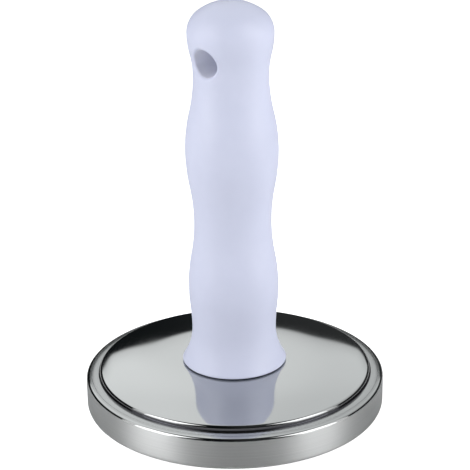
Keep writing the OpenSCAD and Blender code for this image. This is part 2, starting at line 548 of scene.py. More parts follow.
def new_material(name: str) -> tuple[bpy.types.Material, Sheet, bpy.types.Node]:
    """Starts a material with one Principled BSDF.

    Args:
        name: Name of the material.

    Returns:
        The material, its sheet of nodes and the BSDF.
    """
    material = bpy.data.materials.new(name)
    material.use_nodes = True
    sheet = Sheet(material.node_tree)
    shader = sheet.place("ShaderNodeBsdfPrincipled")
    sheet.feed(sheet.place("ShaderNodeOutputMaterial").inputs["Surface"], shader.outputs["BSDF"])
    return material, sheet, shader


# Finishes

# Turns the stretched gloss a quarter of a turn from the tangent, across the brushing
ACROSS = 0.25
# Colour and roughness of the satin shelf, which the rim's top shares
SHELF_COLOR: Color = (0.42, 0.43, 0.43)
SHELF_ROUGHNESS = 0.22


@dataclass(frozen=True)
class BrushedSteel:
    """Stainless sheet brushed around the axis, so that it blurs what it mirrors up and down.

    Attributes:
        light: Colour of the line crests.
        dark: Colour of the line troughs.
        clean: Roughness where it is clean.
        dull: Roughness where it was handled.
        stretch: How far the brushing stretches the gloss.
        lines: Lines per metre across the brushing.
        relief: Depth of the lines in millimetres.
        bright_z: Height in millimetres above which the rim's edge is polished instead.
        bright: Roughness of the polished edge.
        edge: Colour of the polished edge.
        satin_z: Height in millimetres above which the rim's top is satin, as the shelf beside it.
        fade: Height in millimetres over which one finish gives way to the next.
        drift: Changes per metre along a line.
        patches: Handled patches per metre.
    """

    light: Color = (0.68, 0.69, 0.69)
    dark: Color = (0.61, 0.62, 0.62)
    clean: float = 0.43
    dull: float = 0.47
    stretch: float = 0.9
    lines: float = 9000.0
    relief: float = 0.001
    bright_z: float = 11.3
    bright: float = 0.05
    edge: Color = (0.48, 0.49, 0.49)
    satin_z: float = 12.3
    fade: float = 0.15
    drift: float = 14.0
    patches: float = 60.0

    def material(self, effects: Effects) -> bpy.types.Material:
        """Builds the material.

        Args:
            effects: The shared node groups.

        Returns:
            The material.
        """
        material, sheet, shader = new_material("brushed_stainless")
        lines = sheet.use(effects.turned_lines, Lines=self.lines, Drift=self.drift)
        tone = sheet.remap(lines.outputs["Tone"], TONE_RANGE)
        worn = sheet.use(effects.handling, Patches=self.patches, Clean=self.clean, Dull=self.dull)
        tangent = sheet.place("ShaderNodeTangent", direction_type="RADIAL", axis="Z")
        height = sheet.split(sheet.object_place()).outputs["Z"]
        polished = sheet.ramp(height, self.bright_z, self.fade)
        satin = sheet.ramp(height, self.satin_z, self.fade)
        brushed = sheet.mix(tone, self.dark, self.light)
        gloss = sheet.blend(polished, worn.outputs["Roughness"], self.bright)
        tint = sheet.mix(polished, brushed, self.edge)
        sheet.feed(shader.inputs["Base Color"], sheet.mix(satin, tint, SHELF_COLOR))
        sheet.feed(shader.inputs["Roughness"], sheet.blend(satin, gloss, SHELF_ROUGHNESS))
        sheet.feed(shader.inputs["Normal"], sheet.bump(lines.outputs["Tone"], self.relief))
        sheet.feed(shader.inputs["Tangent"], tangent.outputs[0])
        shader.inputs["Metallic"].default_value = 1.0
        shader.inputs["Anisotropic"].default_value = self.stretch
        shader.inputs["Anisotropic Rotation"].default_value = ACROSS
        return material


@dataclass(frozen=True)
class MirrorSteel:
    """Stainless sheet with a mirror-polished middle, painted shade at its step and a satin shelf around it.

    Attributes:
        polished: Colour of the mirror.
        mirror: Roughness of the mirror.
        smeared: Roughness of the mirror where a cloth passed.
        shelf_r: Where the shelf starts, from the axis in millimetres.
        step_shade: Colour of painted shade over the plateau's edge, the step's wall and the hollow at its
            foot.
        step_shade_r: Where the painted shade starts and where it is full, from the axis in millimetres.
        streaks: Depth of the polishing streaks in millimetres.
        streak_turn: Direction of the polishing streaks, in degrees about the axis.
        streak_scale: Streaks per metre along them, across them and upwards.
        shelf_fade: Width in millimetres over which the mirror gives way to the shelf.
        shelf_lines: Lines per metre across the shelf's brushing.
        drift: Changes per metre along a line.
        patches: Smeared patches per metre.
    """

    polished: Color = (0.50, 0.51, 0.51)
    mirror: float = 0.05
    smeared: float = 0.08
    shelf_r: float = 50.2
    # Painted shade: a near-black colour laid over the step and its hollow in place of the shade there
    step_shade: Color = (0.07, 0.07, 0.08)
    step_shade_r: tuple[float, float] = (49.6, 50.05)
    streaks: float = 0.0004
    streak_turn: float = 42.7
    streak_scale: tuple[float, float, float] = (30.0, 900.0, 30.0)
    shelf_fade: float = 0.2
    shelf_lines: float = 4200.0
    drift: float = 20.0
    patches: float = 45.0

    def material(self, effects: Effects) -> bpy.types.Material:
        """Builds the material.

        Args:
            effects: The shared node groups.

        Returns:
            The material.
        """
        material, sheet, shader = new_material("mirror_stainless")
        place = sheet.object_place()
        radius = sheet.radius(place)
        outside = sheet.ramp(radius, self.shelf_r, self.shelf_fade)
        # Painted shade: the mirror darkens towards the step, into the hollow at its foot
        shaded = sheet.ramp(radius, self.step_shade_r[0], self.step_shade_r[1] - self.step_shade_r[0])
        top = sheet.mix(shaded, self.polished, self.step_shade)
        worn = sheet.use(effects.handling, Patches=self.patches, Clean=self.mirror, Dull=self.smeared)
        gloss = sheet.blend(outside, worn.outputs["Roughness"], SHELF_ROUGHNESS)
        along = sheet.place("ShaderNodeMapping")
        along.inputs["Rotation"].default_value = (0.0, 0.0, math.radians(self.streak_turn))
        along.inputs["Scale"].default_value = self.streak_scale
        sheet.feed(along.inputs["Vector"], place)
        streaks = sheet.noise(along.outputs[0], scale=1.0, detail=3.0)
        lines = sheet.use(effects.turned_lines, Lines=self.shelf_lines, Drift=self.drift)
        relief = sheet.blend(outside, streaks, lines.outputs["Tone"])
        sheet.feed(shader.inputs["Base Color"], sheet.mix(outside, top, SHELF_COLOR))
        sheet.feed(shader.inputs["Roughness"], gloss)
        sheet.feed(shader.inputs["Normal"], sheet.bump(relief, self.streaks))
        shader.inputs["Metallic"].default_value = 1.0
        return material


@dataclass(frozen=True)
class MouldedFinish:
    """Plastic, rubber or bare iron as it comes out of a mould.

    Attributes:
        name: Name of the material.
        light: Colour of the paler places.
        dark: Colour of the darker places.
        clean: Roughness where it is clean.
        dull: Roughness where it was handled.
        grain: Grain per metre.
        relief: Depth of the grain in millimetres.
        metal: How far it is bare metal, from 0 to 1.
        swell: Paler and darker places per metre.
        patches: Handled patches per metre.
    """

    name: str
    light: Color
    dark: Color
    clean: float
    dull: float
    grain: float
    relief: float
    metal: float = 0.0
    swell: float = 90.0
    patches: float = 70.0

    def material(self, effects: Effects) -> bpy.types.Material:
        """Builds the material.

        Args:
            effects: The shared node groups.

        Returns:
            The material.
        """
        material, sheet, shader = new_material(self.name)
        grain = sheet.use(effects.fine_grain, Grain=self.grain, Swell=self.swell)
        worn = sheet.use(effects.handling, Patches=self.patches, Clean=self.clean, Dull=self.dull)
        tone = sheet.remap(grain.outputs["Tone"], TONE_RANGE)
        sheet.feed(shader.inputs["Base Color"], self.color(sheet, tone))
        sheet.feed(shader.inputs["Roughness"], worn.outputs["Roughness"])
        sheet.feed(shader.inputs["Normal"], sheet.bump(grain.outputs["Height"], self.relief))
        shader.inputs["Metallic"].default_value = self.metal
        return material

    def color(self, sheet: Sheet, tone: bpy.types.NodeSocket) -> bpy.types.NodeSocket:
        """Colour of the surface for a tone of its grain."""
        return sheet.mix(tone, self.dark, self.light)


@dataclass(frozen=True)
class GripFinish(MouldedFinish):
    """Moulded plastic with painted light inside the hanging hole: a paler colour there lifts the bore's
    shade.

    Attributes:
        painted_bore_light: Paler colour inside the hole, painted light in place of the bore's shade.
        bore_r: Radius of the hole in millimetres.
        bore_z: Height of the hole's axis in millimetres.
        bore_fade: Width in millimetres over which one colour gives way to the other.
    """

    # Painted light: a paler colour inside the hanging hole stands in for light reaching into its shade
    painted_bore_light: Color = (0.855, 0.87, 0.97)
    bore_r: float = HOLE_R
    bore_z: float = HOLE_Z
    bore_fade: float = 0.3

    def color(self, sheet: Sheet, tone: bpy.types.NodeSocket) -> bpy.types.NodeSocket:
        """Colour of the surface for a tone of its grain, with painted light: paler by the hole's axis.

        Args:
            sheet: The material's nodes.
            tone: Tone of the grain.

        Returns:
            The colour.
        """
        parts = sheet.split(sheet.object_place()).outputs
        across = sheet.place("ShaderNodeCombineXYZ")
        sheet.feed(across.inputs["X"], parts["X"])
        sheet.feed(across.inputs["Y"], sheet.math("SUBTRACT", parts["Z"], self.bore_z * MM))
        outside = sheet.ramp(sheet.radius(across.outputs[0]), self.bore_r, self.bore_fade)
        # Painted light: the bore's paler colour inside the hole's radius
        return sheet.mix(outside, self.painted_bore_light, super().color(sheet, tone))


@dataclass(frozen=True)
class TurnedMetal:
    """Metal cut on a lathe or plated over its turning marks.

    Attributes:
        name: Name of the material.
        light: Colour of the line crests.
        dark: Colour of the line troughs.
        clean: Roughness where it is clean.
        dull: Roughness where it was handled.
        lines: Lines per metre.
        relief: Depth of the lines in millimetres.
        drift: Changes per metre along a line.
        patches: Handled patches per metre.
    """

    name: str
    light: Color
    dark: Color
    clean: float
    dull: float
    lines: float
    relief: float
    drift: float = 25.0
    patches: float = 150.0

    def material(self, effects: Effects) -> bpy.types.Material:
        """Builds the material.

        Args:
            effects: The shared node groups.

        Returns:
            The material.
        """
        material, sheet, shader = new_material(self.name)
        lines = sheet.use(effects.turned_lines, Lines=self.lines, Drift=self.drift)
        worn = sheet.use(effects.handling, Patches=self.patches, Clean=self.clean, Dull=self.dull)
        tone = sheet.remap(lines.outputs["Tone"], TONE_RANGE)
        sheet.feed(shader.inputs["Base Color"], sheet.mix(tone, self.dark, self.light))
        sheet.feed(shader.inputs["Roughness"], worn.outputs["Roughness"])
        sheet.feed(shader.inputs["Normal"], sheet.bump(lines.outputs["Tone"], self.relief))
        shader.inputs["Metallic"].default_value = 1.0
        return material


GRIP_PLASTIC = GripFinish(
    "grip_plastic",
    light=(0.70, 0.732, 0.908),
    dark=(0.685, 0.717, 0.893),
    clean=0.42,
    dull=0.5,
    grain=2600.0,
    relief=0.006,
)
SEAL_RUBBER = MouldedFinish(
    "seal_rubber",
    light=(0.05, 0.06, 0.11),
    dark=(0.03, 0.035, 0.07),
    clean=0.6,
    dull=0.75,
    grain=3200.0,
    relief=0.01,
)
CAST_IRON = MouldedFinish(
    "cast_iron",
    light=(0.2, 0.2, 0.21),
    dark=(0.11, 0.11, 0.12),
    clean=0.55,
    dull=0.7,
    grain=1400.0,
    relief=0.08,
    metal=0.85,
)
PLATED_STEEL = TurnedMetal(
    "plain_steel",
    light=(0.6, 0.62, 0.65),
    dark=(0.48, 0.5, 0.53),
    clean=0.28,
    dull=0.4,
    lines=1500.0,
    relief=0.003,
)
TURNED_BRASS = TurnedMetal(
    "brass",
    light=(0.78, 0.58, 0.27),
    dark=(0.62, 0.44, 0.18),
    clean=0.24,
    dull=0.36,
    lines=1800.0,
    relief=0.006,
)


# Sub-assemblies


def finish_piece(piece: bpy.types.Object, node: Node, material: bpy.types.Material) -> None:
    """Dresses a new piece, lets it stand for its CAD node and reports it.

    Args:
        piece: The new object.
        node: CAD node that it stands for.
        material: The finish.
    """
    piece.data.materials.append(material)
    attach(piece, "root")
    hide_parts(node.value)
    LOG.info("%s: %d faces, stands for %s", piece.name, len(piece.data.polygons), node.value)


@dataclass
class StrikePan:
    """The drawn pan: the flat pounding face, the brushed rim and its rounded edges.

    Attributes:
        disc_d: Outside diameter.
        rim_h: Height of the rim.
        floor_t: Thickness of the pounding face.
        wall_t: Thickness of the rim's wall.
        face_round: Radius of the edge around the pounding face.
        rim_round: Radius of the rim's outer top edge.
        rim_slope: Slope of the rim's top, outwards and down, in degrees.
        seam_round: Radius of the rim's inner top edge.
        columns: Places around the axis.
        arc_steps: Steps in each rounded edge.
    """

    disc_d: float = 109.6
    rim_h: float = 12.6
    floor_t: float = 2.0
    wall_t: float = 2.0
    face_round: float = 2.4
    rim_round: float = 1.2
    rim_slope: float = 16.0
    seam_round: float = 0.04
    columns: int = 288
    arc_steps: int = 10

    @property
    def inner_r(self) -> float:
        """Radius inside the rim's wall."""
        return self.disc_d / 2 - self.wall_t

    def profile(self) -> Floats:
        """The pan's section: out along the face, up the rim, and back along the inside."""
        outer_r = self.disc_d / 2
        edge_z = self.rim_h - self.wall_t * math.tan(math.radians(self.rim_slope))
        return rounded(
            [
                (0.0, 0.0, 0.0),
                (outer_r, 0.0, self.face_round),
                (outer_r, edge_z, self.rim_round),
                (self.inner_r, self.rim_h, self.seam_round),
                (self.inner_r, self.floor_t, self.face_round - self.wall_t),
                (0.0, self.floor_t, 0.0),
            ],
            steps=self.arc_steps,
        )

    def build(self, effects: Effects) -> None:
        """Makes the pan and dresses it in brushed steel.

        Args:
            effects: The shared node groups.
        """
        piece = turned(self.profile(), self.columns).to_object("pan_brushed")
        finish_piece(piece, Node.STRIKE_PAN, BrushedSteel().material(effects))


@dataclass
class TopCover:
    """The pressed cover: a narrow shelf, a step and a crowned mirror with a flat seat for the grip.

    Attributes:
        pan: The pan that it closes.
        sheet_t: Thickness of the sheet.
        seam_gap: Gap to the pan's wall.
        shelf_w: Width of the shelf.
        shelf_rise: Rise of the domed shelf from the seam to the step.
        shelf_fall: Slope of the domed shelf at the seam, in degrees.
        step_h: Height of the step.
        step_lean: Inward lean of the step's wall.
        hollow: Radius of the hollow at the foot of the step.
        edge_round: Radius of the plateau's edge.
        crown_rise: Rise from the plateau's edge to the seat.
        crown_power: How the crown falls away: 2 is evenly curved, more is steeper at the edge.
        seat_r: Radius of the flat seat.
        bolt_hole_r: Radius of the hole for the tie bolt.
        dome_share: How much of the shelf's full rounding is drawn.
        columns: Places around the axis.
        arc_steps: Steps in each rounding of the shelf.
        edge_steps: Steps in the plateau's edge.
        crown_steps: Steps along the crown.
        under_steps: Steps along the crown's underside.
    """

    pan: StrikePan
    sheet_t: float = 1.0
    seam_gap: float = 0.05
    shelf_w: float = 2.7
    shelf_rise: float = 0.22
    shelf_fall: float = 12.0
    step_h: float = 1.78
    step_lean: float = 0.1
    hollow: float = 0.3
    edge_round: float = 1.3
    crown_rise: float = 2.35
    crown_power: float = 2.5
    seat_r: float = 19.8
    bolt_hole_r: float = 5.25
    dome_share: float = 0.93
    columns: int = 288
    arc_steps: int = 8
    edge_steps: int = 14
    crown_steps: int = 70
    under_steps: int = 16

    @property
    def outer_r(self) -> float:
        """Radius of the cover at the seam."""
        return self.pan.inner_r - self.seam_gap

    @property
    def step_r(self) -> float:
        """Radius at the foot of the step."""
        return self.outer_r - self.shelf_w

    @property
    def plateau_r(self) -> float:
        """Radius at the top of the step."""
        return self.step_r - self.step_lean

    @property
    def step_z(self) -> float:
        """Height at the foot of the step."""
        return self.pan.rim_h + self.shelf_rise

    @property
    def seat_z(self) -> float:
        """Height of the seat under the grip."""
        return self.step_z + self.step_h + self.crown_rise

    def crown_share(self, r: Floats) -> Floats:
        """The way from the seat to the plateau's edge at distances r from the axis, from 0 to 1."""
        return np.maximum(0.0, r - self.seat_r) / (self.plateau_r - self.seat_r)

    def crown_z(self, r: Floats) -> Floats:
        """Height of the crown: the seat, less crown_rise times the share of the way to the power crown_power.

        Args:
            r: Distances from the axis.

        Returns:
            Heights.
        """
        return self.seat_z - self.crown_rise * self.crown_share(r) ** self.crown_power

    def crown_angle(self, r: float) -> float:
        """Angle in radians at which the crown falls: the arc tangent of its height's derivative.

        Args:
            r: Distance from the axis.

        Returns:
            The angle.
        """
        steepest = self.crown_power * self.crown_rise / (self.plateau_r - self.seat_r)
        return math.atan(steepest * float(self.crown_share(np.array(r))) ** (self.crown_power - 1))

    def crown_line(self, outside: float, drop: float, steps: int) -> Floats:
        """Points along the crown from a radius inwards to the bolt's hole.

        Args:
            outside: Radius to start from.
            drop: Distance below the upper face.
            steps: Steps along the arc.

        Returns:
            Points (r, z).
        """
        r = np.append(np.linspace(outside, self.seat_r, steps + 1), self.bolt_hole_r)
        return np.column_stack([r, self.crown_z(r) - drop])

    def edge(self) -> tuple[float, Floats]:
        """The plateau's rounded edge, tangent to the crown inside and to the step's wall outside.

        The arc's centre lies edge_round below the crown along its normal, where the arc just reaches
        plateau_r. The wall is the line from the foot of the step that touches the arc.

        Returns:
            The radius where the crown takes over, and the arc's points from the wall upwards.
        """
        q = self.edge_round
        slope = self.crown_angle(self.plateau_r - q)
        touch = self.plateau_r - q + q * math.sin(slope)
        height = float(self.crown_z(np.array(touch)))
        centre = (touch - q * math.sin(slope), height - q * math.cos(slope))
        away = (self.step_r - centre[0], self.step_z - centre[1])
        wall = math.atan2(away[1], away[0]) + math.acos(q / math.hypot(*away))
        return touch, arc(centre, q, wall, math.pi / 2 - slope, self.edge_steps)

    def dome(self) -> tuple[float, float, float]:
        """The shelf's dome: the corner between its slope at the seam and its level foot, and the rounding.

        The rounding of radius rise / (sin fall tan(fall / 2)) would start right at the seam, so only
        dome_share of it is drawn.

        Returns:
            Distance from the axis, height and rounding of the corner.
        """
        fall = math.radians(self.shelf_fall)
        full = self.shelf_rise / (math.sin(fall) * math.tan(fall / 2))
        return self.outer_r - self.shelf_rise / math.tan(fall), self.step_z, self.dome_share * full

    def profile(self) -> Floats:
        """The cover's section: up from the seam over the shelf, step and crown, and back underneath."""
        touch, edge = self.edge()
        under_r = self.plateau_r - self.sheet_t
        start = (self.outer_r, self.pan.rim_h - self.sheet_t, 0.0)
        seam = (self.outer_r, self.pan.rim_h, self.pan.seam_round)
        hollow = (self.step_r, self.step_z, self.hollow)
        lower = rounded([start, seam, self.dome(), hollow, (*edge[0], 0.0)], self.arc_steps)
        crown = self.crown_line(touch, 0.0, self.crown_steps)
        under = self.crown_line(under_r, self.sheet_t, self.under_steps)[::-1]
        corner = [[self.step_r - self.sheet_t, self.step_z - self.sheet_t]]
        return np.vstack([lower, edge[1:], crown[1:], under, corner])

    def build(self, effects: Effects) -> None:
        """Makes the cover and dresses it in mirror and satin steel.

        Args:
            effects: The shared node groups.
        """
        piece = turned_ring(self.profile(), self.columns).to_object("cover_mirror")
        finish_piece(piece, Node.TOP_COVER, MirrorSteel().material(effects))


@dataclass
class FootSeal:
    """The thin rubber ring between the grip's foot and the cover.

    Attributes:
        cover: The cover that it lies on.
        inner_r: Inner radius.
        outer_r: Outer radius.
        thick: Thickness.
        edge_round: Radius of its edges.
        columns: Places around the axis.
        arc_steps: Steps in each rounded edge.
    """

    cover: TopCover
    inner_r: float = 11.0
    outer_r: float = 18.3
    thick: float = 0.3
    edge_round: float = 0.1
    columns: int = 192
    arc_steps: int = 4

    @property
    def top_z(self) -> float:
        """Height of its upper face."""
        return self.cover.seat_z + self.thick

    def profile(self) -> Floats:
        """The ring's section with rounded edges, closed on itself at the middle of its lower face."""
        low, high, q = self.cover.seat_z, self.top_z, self.edge_round
        middle = (self.inner_r + self.outer_r) / 2
        loop = [
            (middle, low, 0.0),
            (self.outer_r, low, q),
            (self.outer_r, high, q),
            (self.inner_r, high, q),
            (self.inner_r, low, q),
            (middle, low, 0.0),
        ]
        return rounded(loop, self.arc_steps)[:-1]

    def build(self, effects: Effects) -> None:
        """Makes the seal and dresses it in rubber.

        Args:
            effects: The shared node groups.
        """
        piece = turned_ring(self.profile(), self.columns).to_object("seal_ring")
        finish_piece(piece, Node.FOOT_SEAL, SEAL_RUBBER.material(effects))


@dataclass
class Grip:
    """The moulded grip: a flared foot, three swells, a domed head and a cross hole to hang it by.

    Attributes:
        foot_z: Height of the foot above the pounding face.
        foot_d: Diameter of the foot.
        foot_round: Radius of the foot's lower edge.
        waists: Diameter and height above the foot of each waist and swell, upwards to the head.
        dome_h: Height of the dome above the head's widest place.
        shoulder: Radius of the dome's shoulder.
        recess_r: Radius of the recess around the nut.
        socket_r: Radius of the socket around the insert.
        rib_r: Radius inside the ribs that key the insert.
        rib_h: Height of each rib.
        rib_shares: How far up the socket each rib's middle lies, from the upper rib down.
        socket_z: Height of the socket's mouth.
        socket_len: Depth of the socket.
        hole_r: Radius of the hanging hole.
        hole_z: Height of the hanging hole's axis.
        lip: Radius of the hole's lips.
        columns: Places around the axis.
        reach: Columns and rows from the middle of a hole's window to its side.
        window_h: Half height of the window in the grid around each mouth.
        arc_steps: Steps in the foot's edge and in the dome's cap.
        shoulder_steps: Steps in the dome's shoulder.
        flare_rows: Rows along the flare.
        side_rows: Rows from the lowest waist to the hole's window.
        head_rows: Rows from the window to the head's widest place.
        web_rings: Rings from a window's edge to the lip.
        lip_rings: Rings around a lip.
        bore_rings: Rings from a lip to the middle of the hole.
        stations: Radius and height of each waist and swell.
    """

    foot_z: float
    foot_d: float = 38.0
    foot_round: float = 0.5
    waists: tuple[tuple[float, float], ...] = (
        (30.6, 13.0),
        (32.6, 29.2),
        (27.8, 54.0),
        (33.1, 81.0),
        (26.6, 108.2),
        (30.4, 123.4),
    )
    dome_h: float = 11.0
    shoulder: float = 9.0
    recess_r: float = 10.8
    socket_r: float = 7.55
    rib_r: float = 6.55
    rib_h: float = 3.9
    rib_shares: tuple[float, ...] = (2 / 3, 1 / 3)
    socket_z: float = 30.75
    socket_len: float = 26.05
    hole_r: float = HOLE_R
    hole_z: float = HOLE_Z
    lip: float = 1.3
    columns: int = 192
    reach: int = 18
    window_h: float = 7.4
    arc_steps: int = 10
    shoulder_steps: int = 16
    flare_rows: int = 24
    side_rows: int = 130
    head_rows: int = 5
    web_rings: int = 10
    lip_rings: int = 10
    bore_rings: int = 12
    stations: Floats = field(init=False)

    def __post_init__(self) -> None:
        """Works out the radius and height of each waist and swell."""
        self.stations = np.array([(d / 2, self.foot_z + h) for d, h in self.waists])

    @property
    def flare_r(self) -> float:
        """Radius of the hollow flare that touches the lowest waist and the foot's rounded edge.

        The two circles touch from outside, so the distance of their centres is the sum of their radii.
        """
        q = self.foot_round
        back = self.stations[0, 0] - (self.foot_d / 2 - q)
        rise = self.stations[0, 1] - (self.foot_z + q)
        return (back**2 + rise**2 - q**2) / (2 * (q - back))

    def flare_start(self) -> tuple[float, float]:
        """The angle on the foot's edge and the height at which the flare takes over from it."""
        q = self.foot_round
        across = self.stations[0, 0] + self.flare_r - (self.foot_d / 2 - q)
        rise = self.stations[0, 1] - (self.foot_z + q)
        turn = math.atan2(rise, across)
        return turn, self.foot_z + q + q * math.sin(turn)

    def radius_at(self, z: Floats) -> Floats:
        """Radius of the grip between its foot and its head.

        The flare is one arc. Between two stations run two equal arcs that meet half way, so a station's
        radius changes by q - sqrt(q^2 - h^2) at a height h away from it.

        Args:
            z: Heights.

        Returns:
            Radii.
        """
        low_r, low_z = self.stations[0]
        below = np.minimum(z - low_z, 0.0)
        r = low_r + self.flare_r - np.sqrt(self.flare_r**2 - below**2)
        for (r0, z0), (r1, z1) in zip(self.stations[:-1], self.stations[1:]):
            q = ((r1 - r0) ** 2 + (z1 - z0) ** 2) / (4 * abs(r1 - r0))
            side = math.copysign(1.0, r1 - r0)
            up = np.clip(z - z0, 0.0, (z1 - z0) / 2)
            down = np.clip(z1 - z, 0.0, (z1 - z0) / 2)
            first = r0 + side * (q - np.sqrt(q**2 - up**2))
            second = r1 - side * (q - np.sqrt(q**2 - down**2))
            r = np.where(z > z0, np.where(z < (z0 + z1) / 2, first, second), r)
        return r

    def cavity(self) -> Floats:
        """Section of the hollow inside: the socket with its two ribs, then the recess, down to the foot."""
        top = self.socket_z + self.socket_len
        corners = [(0.0, top), (self.socket_r, top)]
        for share in self.rib_shares:
            middle = self.socket_z + share * self.socket_len
            half = self.rib_h / 2
            corners += [
                (self.socket_r, middle + half),
                (self.rib_r, middle + half),
                (self.rib_r, middle - half),
                (self.socket_r, middle - half),
            ]
        corners += [
            (self.socket_r, self.socket_z),
            (self.recess_r, self.socket_z),
            (self.recess_r, self.foot_z),
        ]
        return np.array(corners)

    def dome(self) -> Floats:
        """Points over the dome: the shoulder's arc, then a flatter cap that is tangent to it."""
        head_r, head_z = self.stations[-1]
        inner = head_r - self.shoulder
        cap_r = (inner**2 + self.dome_h**2 - self.shoulder**2) / (2 * (self.dome_h - self.shoulder))
        turn = math.atan2(cap_r - self.dome_h, inner)
        shoulder = arc((inner, head_z), self.shoulder, 0.0, turn, self.shoulder_steps)
        cap = arc((0.0, head_z + self.dome_h - cap_r), cap_r, turn, math.pi / 2, self.arc_steps)
        return np.vstack([shoulder, cap[1:]])

    def profile(self) -> tuple[Floats, int]:
        """The whole section, from the socket's end down, around the foot and up to the top of the dome.

        Returns:
            Points (r, z) and the number of the point at the lower side of the hole's window.
        """
        turn, flare_z = self.flare_start()
        q = self.foot_round
        edge = arc((self.foot_d / 2 - q, self.foot_z + q), q, -math.pi / 2, turn, self.arc_steps)
        low, high = self.hole_z - self.window_h, self.hole_z + self.window_h
        z = np.concatenate(
            [
                np.linspace(flare_z, self.stations[0, 1], self.flare_rows)[1:],
                np.linspace(self.stations[0, 1], low, self.side_rows)[1:],
                np.linspace(low, high, 2 * self.reach + 1)[1:],
                np.linspace(high, self.stations[-1, 1], self.head_rows)[1:-1],
            ]
        )
        side = np.column_stack([self.radius_at(z), z])
        before = np.vstack([self.cavity(), edge])
        window = len(before) + int(np.argmin(np.abs(z - low)))
        dome = self.dome()
        dome[-1, 0] = 0.0
        return np.vstack([before, side, dome]), window

    def mouth(self, edge: Floats) -> Floats:
        """Rings that lead from a window's edge over the lip into the middle of the hole.

        Each ring is worked out in the plane across the hole and lifted onto the grip: y is the square root of
        the grip's radius squared less x squared. On the lip, at a quarter turn t, the ring's radius is
        hole_r + lip (1 - sin t) and it sinks by lip (1 - cos t).

        Args:
            edge: Points of the window's edge on the side of +Y, in order.

        Returns:
            Points shaped (rings, len(edge), 3), the last ring at y = 0.
        """
        centre = np.array([0.0, self.hole_z])
        flat = edge[:, [0, 2]] - centre
        unit = flat / np.linalg.norm(flat, axis=1, keepdims=True)
        share = np.linspace(0.0, 1.0, self.web_rings + 1)[1:, None, None]
        web = flat + share * (unit * (self.hole_r + self.lip) - flat)
        t = np.linspace(0.0, math.pi / 2, self.lip_rings + 1)[1:, None, None]
        lip = unit * (self.hole_r + self.lip * (1 - np.sin(t)))
        plane = np.concatenate([web, lip]) + centre
        sink = np.concatenate([0 * share, self.lip * (1 - np.cos(t))])[..., 0]
        y = np.sqrt(self.radius_at(plane[..., 1]) ** 2 - plane[..., 0] ** 2) - sink
        rings = np.stack([plane[..., 0], y, plane[..., 1]], axis=-1)
        left = np.linspace(1.0, 0.0, self.bore_rings + 1)[1:, None]
        tube = np.broadcast_to(rings[-1], (len(left), *rings[-1].shape)).copy()
        tube[..., 1] *= left
        return np.concatenate([rings, tube])

    def window_edge(self, row: int, mouth: Mouth) -> tuple[Ints, Ints]:
        """Rows and columns along a window's edge, counter-clockwise as seen from outside.

        Args:
            row: Ring at the window's lower side.
            mouth: Which mouth.

        Returns:
            The ring number and the column of each point.
        """
        n = 2 * self.reach
        middle = self.columns // 4 if mouth is Mouth.AHEAD else 3 * self.columns // 4
        go = np.arange(n)
        rows = np.concatenate([0 * go, go, 0 * go + n, n - go]) + row
        columns = np.concatenate([go, 0 * go + n, n - go, 0 * go]) + middle - self.reach
        return rows, columns

    def surface(self) -> Surface:
        """The turned grip with a window cut around each mouth, closed by the mouths' rings.

        Returns:
            The closed surface.
        """
        profile, window = self.profile()
        body = turned(profile, self.columns)
        row = window - 1
        n = 2 * self.reach
        quads = ring_quads(len(profile) - 2, self.columns)
        keep = np.ones(quads.shape[:2], bool)
        edges = {}
        for mouth in Mouth:
            rows, columns = self.window_edge(row, mouth)
            keep[row : row + n, columns.min() : columns.max()] = False
            edges[mouth] = rows * self.columns + columns
        rings = self.mouth(body.points[edges[Mouth.AHEAD]])
        size = rings.shape[1]
        behind = rings[:-1] * np.array([-1.0, -1.0, 1.0])
        count = len(body.points)
        ahead_ids = count + np.arange(rings.shape[0] * size).reshape(-1, size)
        behind_ids = count + ahead_ids.size + np.arange(behind.shape[0] * size).reshape(-1, size)
        opposite = (n - np.arange(size)) % size
        ahead = np.vstack([edges[Mouth.AHEAD], ahead_ids])
        back = np.vstack([edges[Mouth.BEHIND], behind_ids, ahead_ids[-1][opposite]])
        bands = [quads[keep]]
        for ids in (ahead, back):
            nxt = np.roll(ids, -1, axis=1)
            bands.append(np.stack([ids[:-1], nxt[:-1], nxt[1:], ids[1:]], axis=-1).reshape(-1, 4))
        points = np.vstack([body.points, rings.reshape(-1, 3), behind.reshape(-1, 3)])
        return self.without_loose(Surface(points, np.vstack(bands), body.triangles))

    @staticmethod
    def without_loose(surface: Surface) -> Surface:
        """Drops the points that no face uses, such as those inside a window.

        Args:
            surface: A surface that may have loose points.

        Returns:
            The same faces on fewer points.
        """
        used = np.zeros(len(surface.points), bool)
        used[surface.quads] = True
        used[surface.triangles] = True
        number = np.cumsum(used) - 1
        return Surface(surface.points[used], number[surface.quads], number[surface.triangles])

    def build(self, effects: Effects) -> None:
        """Makes the grip and dresses it in satin plastic.

        Args:
            effects: The shared node groups.
        """
        piece = self.surface().to_object("grip_moulded")
        finish_piece(piece, Node.GRIP, GRIP_PLASTIC.material(effects))


@dataclass
class InnerWorks:
    """The pieces inside the disc and the grip, which keep their CAD shapes.

    Attributes:
        finishes: The finish of each CAD node.
    """

    finishes: dict[Node, MouldedFinish | TurnedMetal] = field(
        default_factory=lambda: {
            Node.WEIGHT_CORE: CAST_IRON,
            Node.TIE_BOLT: PLATED_STEEL,
            Node.CLAMP_WASHER: PLATED_STEEL,
            Node.SPRING_WASHER: PLATED_STEEL,
            Node.CLAMP_NUT: PLATED_STEEL,
            Node.THREADED_INSERT: TURNED_BRASS,
        }
    )

    def build(self, effects: Effects) -> None:
        """Dresses each CAD node, with one material for each finish.

        Args:
            effects: The shared node groups.
        """
        materials = {finish: finish.material(effects) for finish in dict.fromkeys(self.finishes.values())}
        for node, finish in self.finishes.items():
            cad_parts[node.value].material_slots[0].material = materials[finish]
            LOG.info("%s: CAD shape, finish %s", node.value, finish.name)


# Studio


